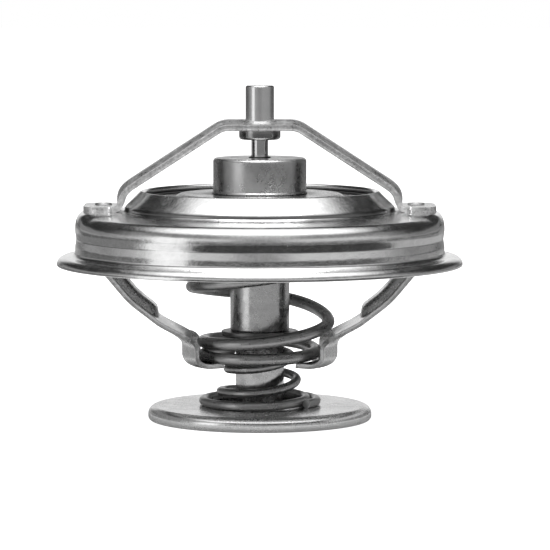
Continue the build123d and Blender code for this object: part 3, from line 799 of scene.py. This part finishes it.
# %% Main spring and bypass spring
# Angle in degrees, share of the way between the radii, share of the way between the heights
MAIN_STATIONS = (
    (-240, 0.00, 0.000), (-90, 0.00, 0.000), (0, 0.02, 0.024), (90, 0.05, 0.069), (180, 0.07, 0.088),
    (270, 0.12, 0.112), (360, 0.79, 0.217), (420, 0.80, 0.325), (480, 0.77, 0.386), (540, 0.74, 0.455),
    (630, 0.78, 0.540), (720, 0.84, 0.656), (900, 0.92, 0.775), (1080, 0.98, 0.887), (1200, 1.00, 0.962),
    (1290, 1.00, 0.997), (1380, 1.00, 1.000), (1470, 1.00, 1.000),
)
BYPASS_STATIONS = (
    (-35, 0.00, 0.000), (90, 0.00, 0.000), (180, 0.01, 0.000), (260, 0.05, 0.005), (325, 0.35, 0.022),
    (380, 0.42, 0.045), (450, 0.53, 0.090), (540, 0.67, 0.150), (630, 0.69, 0.190), (720, 0.75, 0.350),
    (810, 0.87, 0.450), (900, 0.94, 0.520), (990, 0.97, 0.580), (1080, 0.98, 0.730), (1170, 1.00, 0.810),
    (1260, 1.00, 0.890), (1350, 1.00, 0.970), (1440, 1.00, 1.000), (1530, 1.00, 1.000),
)
MAIN_RADII, MAIN_HEIGHTS, MAIN_WIRE, MAIN_PACKED_WIRE = (9.15, 11.95), (-14.88, 9.88), 2.05, 1.8
BYPASS_RADII, BYPASS_HEIGHTS, BYPASS_WIRE, BYPASS_PACKED_WIRE = (9.35, 5.0), (-22.58, -12.42), 1.5, 1.4
main_spring = spring(
    "main_spring_dressed", "main_spring", MAIN_STATIONS, MAIN_RADII, MAIN_HEIGHTS, MAIN_WIRE, "frame"
)
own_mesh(main_spring)
bypass_spring = spring(
    "bypass_spring_dressed", "bypass_spring", BYPASS_STATIONS, BYPASS_RADII, BYPASS_HEIGHTS,
    BYPASS_WIRE, "valve",
)
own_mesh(bypass_spring)

# %% [markdown]
# ## Straps with a pressed bead
#
# The bridge and the cage legs are flat strip, bent and stiffened with a bead. A strap is easy to
# describe as a line seen from the side and a half-width at each place along it. The helper lays a
# fine grid on that, lifts the bead, gives the grid its thickness and breaks the cut edges. The cut
# edges have their own duller metal, with the fine line where the press tore it.

# %% Strap helper
STRAP_COLUMNS, STRAP_STEP, STRAP_EDGE = 48, 0.3, 0.12
BREAK_DEPTH = 0.13


def even_points(line, step):
    """Points along a line at nearly even steps, each with its left normal."""
    corners = [Vector(p) for p in line]
    lengths = [0.0]
    for a, b in zip(corners, corners[1:]):
        lengths.append(lengths[-1] + (b - a).length)
    count = max(2, round(lengths[-1] / step))
    places = []
    k = 0
    for i in range(count + 1):
        s = lengths[-1] * i / count
        while k < len(lengths) - 2 and lengths[k + 1] < s:
            k += 1
        run = corners[k + 1] - corners[k]
        places.append(corners[k] + run * ((s - lengths[k]) / max(run.length, 1e-9)))
    out = []
    for before, place, after in zip(places[:1] + places, places, places[1:] + places[-1:]):
        run = (after - before).normalized()
        out.append((place, Vector((-run.y, run.x))))
    return out


def round_corner(half, radius, distance):
    """Half-width of a strip with round corners, at a distance from its end."""
    inside = max(radius - distance, 0.0)
    return half - radius + sqrt(max(radius ** 2 - inside ** 2, 0.0))


def with_break_line(piece, thickness):
    """Adds the fine line that a press leaves along a cut edge, where the metal tore."""
    work = bmesh.new()
    work.from_mesh(piece.data)
    across = [
        edge for edge in work.edges
        if len(edge.link_faces) == 2
        and all(face.material_index == 1 and abs(face.normal.y) > 0.8 for face in edge.link_faces)
        and thickness * 0.55 * MM < edge.calc_length() < thickness * 1.1 * MM
    ]
    middles = [(edge.verts[0].co + edge.verts[1].co) / 2 for edge in across]
    bmesh.ops.subdivide_edges(work, edges=across, cuts=3)
    work.verts.ensure_lookup_table()
    finder = KDTree(len(work.verts))
    for vertex in work.verts:
        finder.insert(vertex.co, vertex.index)
    finder.balance()
    for middle in middles:
        vertex = work.verts[finder.find(middle)[1]]
        vertex.co.y -= (BREAK_DEPTH if vertex.co.y > 0 else -BREAK_DEPTH) * MM
    work.to_mesh(piece.data)
    work.free()
    print(piece.name, "places on the break line:", len(middles))
    return piece


def strap(name, line, half_width, lift, thickness, material, bend=None):
    """A strap in mm: line in the XZ plane, half_width(place), lift(place, y) of the bead, and
    an optional bend(raised, y) that moves a point of the grid."""
    work = bmesh.new()
    rows = []
    for place, normal in even_points(line, STRAP_STEP):
        half = half_width(place)
        row = []
        for c in range(STRAP_COLUMNS + 1):
            y = half * (2 * c / STRAP_COLUMNS - 1)
            raised = place + normal * lift(place, y)
            point = bend(raised, y) if bend else Vector((raised.x, y, raised.y))
            row.append(work.verts.new(point * MM))
        rows.append(row)
    for a, b in zip(rows, rows[1:]):
        for c in range(STRAP_COLUMNS):
            work.faces.new((a[c], a[c + 1], b[c + 1], b[c]))
    mesh = bpy.data.meshes.new(name)
    work.to_mesh(mesh)
    work.free()
    mesh.materials.append(material)
    mesh.materials.append(cut_metal)
    obj = link(bpy.data.objects.new(name + "_making", mesh))
    wall = obj.modifiers.new("wall", "SOLIDIFY")
    wall.thickness = thickness * MM
    wall.offset = -1
    wall.use_even_offset = True
    wall.use_quality_normals = True
    wall.material_offset_rim = 1
    soft = obj.modifiers.new("edges", "BEVEL")
    soft.width = STRAP_EDGE * MM
    soft.segments = 2
    soft.limit_method = "ANGLE"
    soft.angle_limit = radians(60)
    bpy.context.view_layer.update()
    return with_break_line(plain(obj, name, 50), thickness)

# %% Bridge
bridge_line = rounded([
    (-29.0, 8.9, 0), (-22.75, 8.9, 1.6), (-21.9, 11.9, 4.0), (-5.9, 22.3, 3.0), (5.9, 22.3, 3.0),
    (21.9, 11.9, 4.0), (22.75, 8.9, 1.6), (29.0, 8.9, 0),
], arc_step=4.0)
BRIDGE_HALF = 4.5
FOOT_START, FOOT_END, FOOT_TOP, FOOT_HALF = 24.35, 29.0, 9.5, 6.0


def bridge_half_width(place):
    x = abs(place.x)
    if x < FOOT_START or place.y > FOOT_TOP:
        return BRIDGE_HALF
    inner = round_corner(FOOT_HALF, 1.2, x - FOOT_START)
    return min(inner, round_corner(FOOT_HALF, 2.8, FOOT_END - x))


def bridge_lift(place, y):
    """The bead starts above the feet and is highest in the middle of the strap."""
    return 0.75 * smooth_step(place.y, 9.6, 12.0) * (1 - smooth_step(abs(y), 0.8, 4.2))


bridge = strap("bridge_dressed", bridge_line, bridge_half_width, bridge_lift, 1.0, strap_metal)
finish_piece(bridge, "frame", strap_metal, "plated_sheet", "bridge")

# %% Cage legs
leg_line = rounded([
    (9.4, -16.4, 0), (10.9, -16.6, 3.0), (12.9, -16.6, 3.2), (12.9, -12.576, 1.4),
    (21.6, -5.9, 15.0), (28.2, 1.966, 4.0), (28.2, 7.9, 1.2), (23.3, 7.9, 0),
], arc_step=4.0)
LEG_END, LEG_HALF, HOOK_HALF, HOOK_TOP = 23.3, 6.0, 7.4, -12.1


def leg_half_width(place):
    """Round corners where the leg ends under the shoulder, and an ear on each side of the hook."""
    if place.y > 7.5 and place.x < 25.8:
        return round_corner(LEG_HALF, 2.5, place.x - LEG_END)
    return round_corner(HOOK_HALF, 1.4, max(HOOK_TOP - place.y, 0.0))


def leg_lift(place, y):
    """A deep bead that starts on the slope and ends below the flange."""
    if place.y > 5.1:
        return 0.0
    along = smooth_step(place.x, 17.2, 18.8) * (1 - smooth_step(place.y, 4.1, 5.0))
    return 1.4 * along * (1 - smooth_step(abs(y), 2.1, 3.3))


def leg_bend(raised, y):
    """The hook is bent round the spring, and the leg above it stays flat."""
    flat = Vector((raised.x, y, raised.y))
    curved = Vector((sqrt(max(raised.x * raised.x - y * y, 0.01)), y, raised.y))
    return flat.lerp(curved, 1 - smooth_step(raised.x, 13.3, 17.2))


def leg(name, node_name, side):
    piece = strap(name, leg_line, leg_half_width, leg_lift, 0.8, leg_metal, leg_bend)
    if side < 0:
        for vertex in piece.data.vertices:
            vertex.co.x = -vertex.co.x
        piece.data.flip_normals()
    return finish_piece(piece, "frame", leg_metal, "plated_sheet", node_name)


leg("leg_right_dressed", "cage_leg_right", 1)
leg("leg_left_dressed", "cage_leg_left", -1)

# %% [markdown]
# ## The pieces that stay as they are
#
# The guide, the boot, the wax and the ring are hidden inside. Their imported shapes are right, so each
# one only gets its finish.

# %% Hidden pieces
HIDDEN = {"guide": brass, "rubber_boot": rubber, "wax_charge": wax, "retaining_ring": wire_metal}
for node_name, material in HIDDEN.items():
    for material_slot in frame["nodes"][node_name].material_slots:
        material_slot.material = material
print("packed pieces with a new finish:", ", ".join(HIDDEN))

# %% [markdown]
# ## A pale studio
#
# The object stands on a white sheet, in a room that the camera sees as white. The metal sees both
# much darker, since a real camera side is dark. The paper near the object stays pale, so the disc
# still mirrors it.

# %% Floor
FLOOR_HALF, FLOOR_HEIGHT = 3.0, -25.72 * MM
PAPER_TONE, PAPER_IN_METAL = 0.8, 0.03
DARK_FROM, DARK_TO, PAPER_DARKER = 38 * MM, 70 * MM, -0.5


def stage_sheet(name, points, faces):
    """A mesh of the studio, with an empty material to fill."""
    mesh = bpy.data.meshes.new(name)
    mesh.from_pydata(points, [], faces)
    obj = link(bpy.data.objects.new(name, mesh))
    finish = bpy.data.materials.new(name)
    finish.use_nodes = True
    mesh.materials.append(finish)
    inputs = finish.node_tree.nodes["Principled BSDF"].inputs
    inputs["Specular IOR Level"].default_value = 0.0
    inputs["Emission Color"].default_value = (1, 1, 1, 1)
    return obj, finish.node_tree, inputs


def ray_masks(tree):
    """The kinds of ray, and a mask for those that see a surface directly."""
    rays = tree.nodes.new("ShaderNodeLightPath").outputs
    return rays, math_node(tree, "MAXIMUM", rays["Is Camera Ray"], rays["Is Transmission Ray"])


floor_corners = [
    (x * FLOOR_HALF, y * FLOOR_HALF, FLOOR_HEIGHT) for x, y in ((-1, -1), (1, -1), (1, 1), (-1, 1))
]
floor, paper, paper_inputs = stage_sheet("floor", floor_corners, [(0, 1, 2, 3)])
paper_inputs["Roughness"].default_value = 0.9
paper_rays, paper_seen = ray_masks(paper)
from_middle = paper.nodes.new("ShaderNodeVectorMath")
from_middle.operation = "LENGTH"
paper.links.new(object_place(paper)[0], from_middle.inputs[0])
far = fade_node(paper, from_middle.outputs["Value"], DARK_FROM, DARK_TO, kind="LINEAR")
darker = math_node(paper, "MULTIPLY", paper_rays["Is Glossy Ray"], far)
paper_tone = math_node(paper, "MULTIPLY_ADD", darker, PAPER_DARKER, PAPER_TONE)
paper.links.new(paper_tone, paper_inputs["Base Color"])
paper_glow = math_node(paper, "MULTIPLY", paper_rays["Is Glossy Ray"], PAPER_IN_METAL)
paper_strength = math_node(paper, "MAXIMUM", paper_seen, paper_glow)
paper.links.new(paper_strength, paper_inputs["Emission Strength"])

# %% [markdown]
# The room that the metal sees is built from bands. Two angles say where a ray looks: `up` from the
# horizon and `side` from the camera, with the left side negative. Each band is a product of ramps
# over these angles and a brightness. The metal gets its bright ceiling, its darker front and a low
# glow on both sides from them.

# %% Room
world = bpy.data.worlds.new("room")
world.use_nodes = True
bpy.context.scene.world = world
room = world.node_tree
calc = partial(math_node, room)
ROOM_BASE, ROOM_MOST, ROOM_ON_MATT = 0.03, 1.3, 0.45


def ramp(value, low, high):
    """0 below low, 1 above high, smooth between; low may be above high."""
    if low < high:
        return fade_node(room, value, low, high)
    return fade_node(room, value, high, low, 1.0, 0.0)


def times(product, *others):
    for other in others:
        product = calc("MULTIPLY", product, other)
    return product


look = room.nodes.new("ShaderNodeSeparateXYZ")
room.links.new(room.nodes.new("ShaderNodeTexCoord").outputs["Generated"], look.inputs[0])
towards_x, towards_y, towards_z = look.outputs
up = times(calc("ARCSINE", towards_z), 180 / pi)
side = times(calc("ARCTAN2", towards_x, times(towards_y, -1.0)), 180 / pi)
aside = calc("ABSOLUTE", side)
side_drop = times(ramp(aside, 60, 125), 18.0)
low_band = times(ramp(up, 1, 4), ramp(up, 13, 8))
bands = (
    times(ramp(calc("SUBTRACT", up, side_drop), 26, 50), 1.25),
    times(ramp(up, 2, 7), ramp(up, 22, 15), ramp(aside, 6, 26), ramp(aside, 90, 60), 0.40),
    times(ramp(aside, 115, 80), ramp(up, 40, 20), 0.28),
    times(ramp(aside, 30, 12), ramp(up, 12, 26), 0.25),
    times(ramp(side, -160, -145), ramp(side, -52, -70), low_band, 0.22),
    times(ramp(side, 160, 145), ramp(side, 62, 80), low_band, 0.18),
)
backdrop = times(ramp(aside, 154, 168), ramp(up, 24, 12))
room_light = ROOM_BASE
for band in bands:
    room_light = calc("ADD", room_light, band)
room_light = calc("MAXIMUM", calc("MINIMUM", room_light, ROOM_MOST), backdrop)
room_rays, room_seen = ray_masks(room)
in_metal = times(room_rays["Is Glossy Ray"], room_light)
on_matt = times(room_rays["Is Diffuse Ray"], ROOM_ON_MATT)
background = room.nodes["Background"].inputs
background["Color"].default_value = (1, 1, 1, 1)
room_strength = calc("MAXIMUM", calc("MAXIMUM", room_seen, in_metal), on_matt)
room.links.new(room_strength, background["Strength"])
print("bands of light in the room:", len(bands))

# %% [markdown]
# Cards give the bands their edges. They stand or lie round the object, and only reflections see
# them. Each one is bent round the axis between two angles, and its tone fades from one height to
# another.

# %% Cards
CARD_STEPS = 48
# Name, radii, heights, angles from the camera, tones, heights of the fade; lengths in mm
CARDS = (
    ("front_card", (200, 200), (-26, -6), (-42, 72), (0.55, 0.10), (-20, -14)),
    ("front_upper_card", (200, 200), (-6, 20), (-42, 72), (0.10, 0.32), (-5, 8)),
    ("white_spot", (95, 190), (-25.6, -25.6), (-68, -42), (1.2, 1.2), (-40, -30)),
    ("small_spot", (110, 180), (-25.6, -25.6), (77, 92), (0.5, 0.5), (-40, -30)),
    ("left_window", (200, 200), (-26, 60), (-66, -42), (0.90, 1.25), (-22, -10)),
    ("left_card", (200, 200), (-26, 2), (-140, -66), (0.40, 0.12), (-20, -14)),
    ("left_top", (200, 200), (2, 14), (-140, -66), (0.12, 0.38), (1, 5)),
    ("right_card", (200, 200), (-26, -13), (72, 140), (0.45, 0.05), (-20, -15)),
    ("right_band", (200, 200), (-13, -4), (72, 140), (0.05, 0.36), (-12, -10)),
    ("right_top", (200, 200), (-4, 14), (72, 140), (0.05, 0.32), (1, 5)),
    ("left_rear", (200, 200), (-16, -5), (-178, -142), (0.50, 0.50), (0, 1)),
    ("right_rear", (200, 200), (-16, -5), (162, 178), (0.50, 0.50), (0, 1)),
    ("low_card", (42, 85), (-3, -3), (-29, 66), (0.05, 0.05), (-4, -2)),
    ("low_left", (42, 85), (-3, -3), (-140, -58), (0.22, 0.22), (-4, -2)),
    ("low_right", (42, 85), (-3, -3), (66, 140), (0.48, 0.48), (-4, -2)),
)


def arc(radius, height, start, end):
    turns = [radians(start + (end - start) * k / CARD_STEPS) for k in range(CARD_STEPS + 1)]
    return [Vector((radius * sin(a), -radius * cos(a), height)) * MM for a in turns]


def card(name, radii, heights, angles, tones, fade):
    first, second = (arc(radius, height, *angles) for radius, height in zip(radii, heights))
    points = [point for pair in zip(first, second) for point in pair]
    faces = [(2 * k, 2 * k + 2, 2 * k + 3, 2 * k + 1) for k in range(CARD_STEPS)]
    obj, tree, inputs = stage_sheet(name, points, faces)
    inputs["Base Color"].default_value = (0, 0, 0, 1)
    height = object_place(tree)[3]
    tone = fade_node(tree, height, fade[0] * MM, fade[1] * MM, *tones)
    tree.links.new(tone, inputs["Emission Strength"])
    obj.visible_camera = False
    obj.visible_diffuse = False
    obj.visible_shadow = False


for row in CARDS:
    card(*row)
print("cards round the object:", len(CARDS))

# %% Lamp
LAMP_PLACE = Vector((0, -0.25, 0.9))
lamp_data = bpy.data.lights.new("top_lamp", "AREA")
lamp_data.shape = "RECTANGLE"
lamp_data.size, lamp_data.size_y = 0.8, 0.5
lamp_data.energy = 9
lamp = link(bpy.data.objects.new("top_lamp", lamp_data))
lamp.location = LAMP_PLACE
lamp.rotation_euler = (-LAMP_PLACE).to_track_quat("-Z", "Y").to_euler()
bpy.context.scene.view_settings.view_transform = "Standard"
